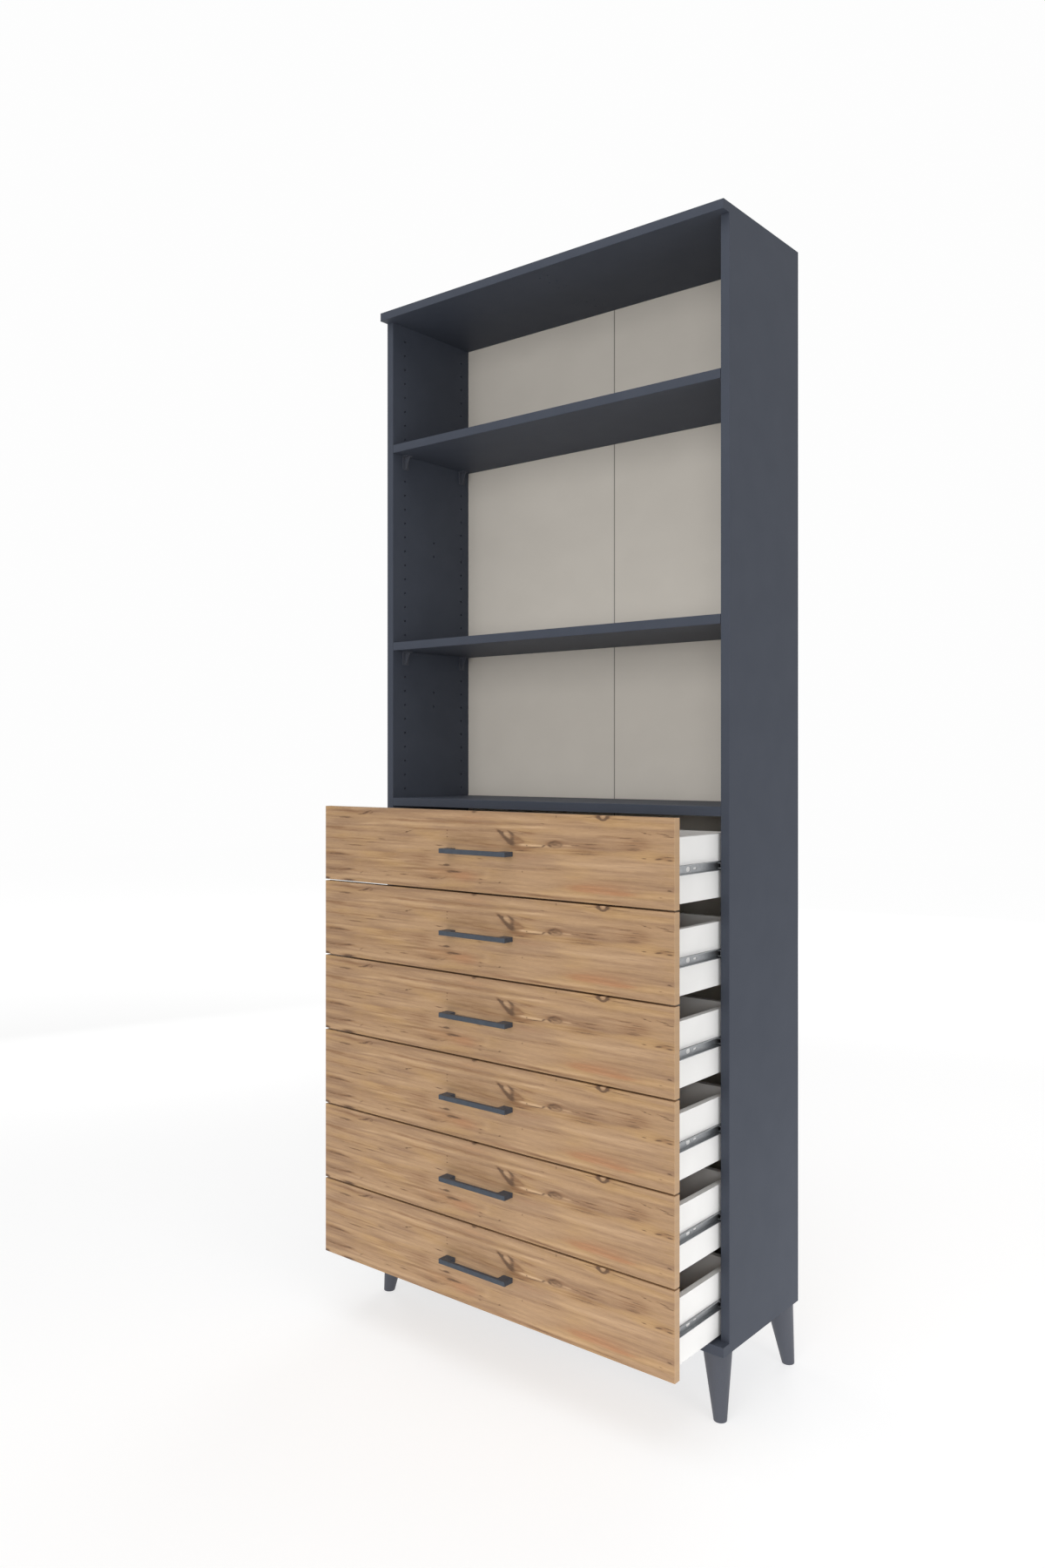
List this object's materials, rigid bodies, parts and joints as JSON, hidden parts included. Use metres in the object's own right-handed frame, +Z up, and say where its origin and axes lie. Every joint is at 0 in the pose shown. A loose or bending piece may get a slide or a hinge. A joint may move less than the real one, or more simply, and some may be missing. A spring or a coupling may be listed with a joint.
{
  "type": "bookcase with drawers",
  "caption": "Tall freestanding bookcase: open compartments with adjustable shelves above, a stack of shallow full-width drawers on ball-bearing runners below, on tapered splayed legs.",
  "frame": {"origin": "on the floor, at the middle of the whole part's length and depth with its drawers standing open as modelled", "axes": "+X to the right as seen from the front, +Y to the back, +Z up"},
  "size_m": [0.88, 0.487, 2.21],
  "materials": {
    "graphite_board": "matt melamine",
    "oak_front": "rustic oak grain, matt",
    "white_board": "smooth white melamine",
    "beige_hardboard": "matt lacquered hardboard",
    "dowel_wood": "plain beech",
    "graphite_metal": "fine powder coat",
    "zinc_steel": "zinc plated",
    "black_plastic": "moulded",
    "graphite_plastic": "moulded, fine texture",
    "grey_strip": "extruded"
  },
  "bodies": {
    "carcase": {"side_panel_left": "graphite_board", "side_panel_right": "graphite_board", "top_panel": "graphite_board", "base_panel": "graphite_board", "fixed_shelf": "graphite_board", "shelf_lower": "graphite_board", "shelf_upper": "graphite_board", "shelf_supports": "graphite_plastic", "back_panel_left": "beige_hardboard", "back_panel_right": "beige_hardboard", "back_joining_strip": "grey_strip", "leg_front_left": "graphite_plastic", "leg_front_right": "graphite_plastic", "leg_rear_left": "graphite_plastic", "leg_rear_right": "graphite_plastic", "cabinet_runners": "zinc_steel", "panel_dowels": "dowel_wood", "panel_fittings": "zinc_steel"},
    "drawer_1": {"drawer_1_front": "oak_front", "drawer_1_sides": "white_board", "drawer_1_back": "white_board", "drawer_1_bottom": "white_board", "drawer_1_handle": "graphite_metal", "drawer_1_runners": "zinc_steel"},
    "drawer_1_cages": {"drawer_1_ball_cages": "black_plastic"},
    "drawer_2": {"drawer_2_front": "oak_front", "drawer_2_sides": "white_board", "drawer_2_back": "white_board", "drawer_2_bottom": "white_board", "drawer_2_handle": "graphite_metal", "drawer_2_runners": "zinc_steel"},
    "drawer_2_cages": {"drawer_2_ball_cages": "black_plastic"},
    "drawer_3": {"drawer_3_front": "oak_front", "drawer_3_sides": "white_board", "drawer_3_back": "white_board", "drawer_3_bottom": "white_board", "drawer_3_handle": "graphite_metal", "drawer_3_runners": "zinc_steel"},
    "drawer_3_cages": {"drawer_3_ball_cages": "black_plastic"},
    "drawer_4": {"drawer_4_front": "oak_front", "drawer_4_sides": "white_board", "drawer_4_back": "white_board", "drawer_4_bottom": "white_board", "drawer_4_handle": "graphite_metal", "drawer_4_runners": "zinc_steel"},
    "drawer_4_cages": {"drawer_4_ball_cages": "black_plastic"},
    "drawer_5": {"drawer_5_front": "oak_front", "drawer_5_sides": "white_board", "drawer_5_back": "white_board", "drawer_5_bottom": "white_board", "drawer_5_handle": "graphite_metal", "drawer_5_runners": "zinc_steel"},
    "drawer_5_cages": {"drawer_5_ball_cages": "black_plastic"},
    "drawer_6": {"drawer_6_front": "oak_front", "drawer_6_sides": "white_board", "drawer_6_back": "white_board", "drawer_6_bottom": "white_board", "drawer_6_handle": "graphite_metal", "drawer_6_runners": "zinc_steel"},
    "drawer_6_cages": {"drawer_6_ball_cages": "black_plastic"}
  },
  "joints": [
    {"name": "drawer_1_slide", "type": "slide", "parent": "carcase", "child": "drawer_1", "axis": [0, -1, 0], "range_m": [-0.1684, 0.0066]},
    {"name": "drawer_1_cage_slide", "type": "slide", "parent": "carcase", "child": "drawer_1_cages", "axis": [0, -1, 0], "range_m": [-0.0842, 0.0033]},
    {"name": "drawer_2_slide", "type": "slide", "parent": "carcase", "child": "drawer_2", "axis": [0, -1, 0], "range_m": [-0.1684, 0.0066]},
    {"name": "drawer_2_cage_slide", "type": "slide", "parent": "carcase", "child": "drawer_2_cages", "axis": [0, -1, 0], "range_m": [-0.0842, 0.0033]},
    {"name": "drawer_3_slide", "type": "slide", "parent": "carcase", "child": "drawer_3", "axis": [0, -1, 0], "range_m": [-0.1684, 0.0066]},
    {"name": "drawer_3_cage_slide", "type": "slide", "parent": "carcase", "child": "drawer_3_cages", "axis": [0, -1, 0], "range_m": [-0.0842, 0.0033]},
    {"name": "drawer_4_slide", "type": "slide", "parent": "carcase", "child": "drawer_4", "axis": [0, -1, 0], "range_m": [-0.1684, 0.0066]},
    {"name": "drawer_4_cage_slide", "type": "slide", "parent": "carcase", "child": "drawer_4_cages", "axis": [0, -1, 0], "range_m": [-0.0842, 0.0033]},
    {"name": "drawer_5_slide", "type": "slide", "parent": "carcase", "child": "drawer_5", "axis": [0, -1, 0], "range_m": [-0.1684, 0.0066]},
    {"name": "drawer_5_cage_slide", "type": "slide", "parent": "carcase", "child": "drawer_5_cages", "axis": [0, -1, 0], "range_m": [-0.0842, 0.0033]},
    {"name": "drawer_6_slide", "type": "slide", "parent": "carcase", "child": "drawer_6", "axis": [0, -1, 0], "range_m": [-0.1684, 0.0066]},
    {"name": "drawer_6_cage_slide", "type": "slide", "parent": "carcase", "child": "drawer_6_cages", "axis": [0, -1, 0], "range_m": [-0.0842, 0.0033]}
  ],
  "couplings": [
    {"joint": "drawer_1_cage_slide", "follows": "drawer_1_slide", "ratio": 0.5},
    {"joint": "drawer_2_cage_slide", "follows": "drawer_2_slide", "ratio": 0.5},
    {"joint": "drawer_3_cage_slide", "follows": "drawer_3_slide", "ratio": 0.5},
    {"joint": "drawer_4_cage_slide", "follows": "drawer_4_slide", "ratio": 0.5},
    {"joint": "drawer_5_cage_slide", "follows": "drawer_5_slide", "ratio": 0.5},
    {"joint": "drawer_6_cage_slide", "follows": "drawer_6_slide", "ratio": 0.5}
  ]
}
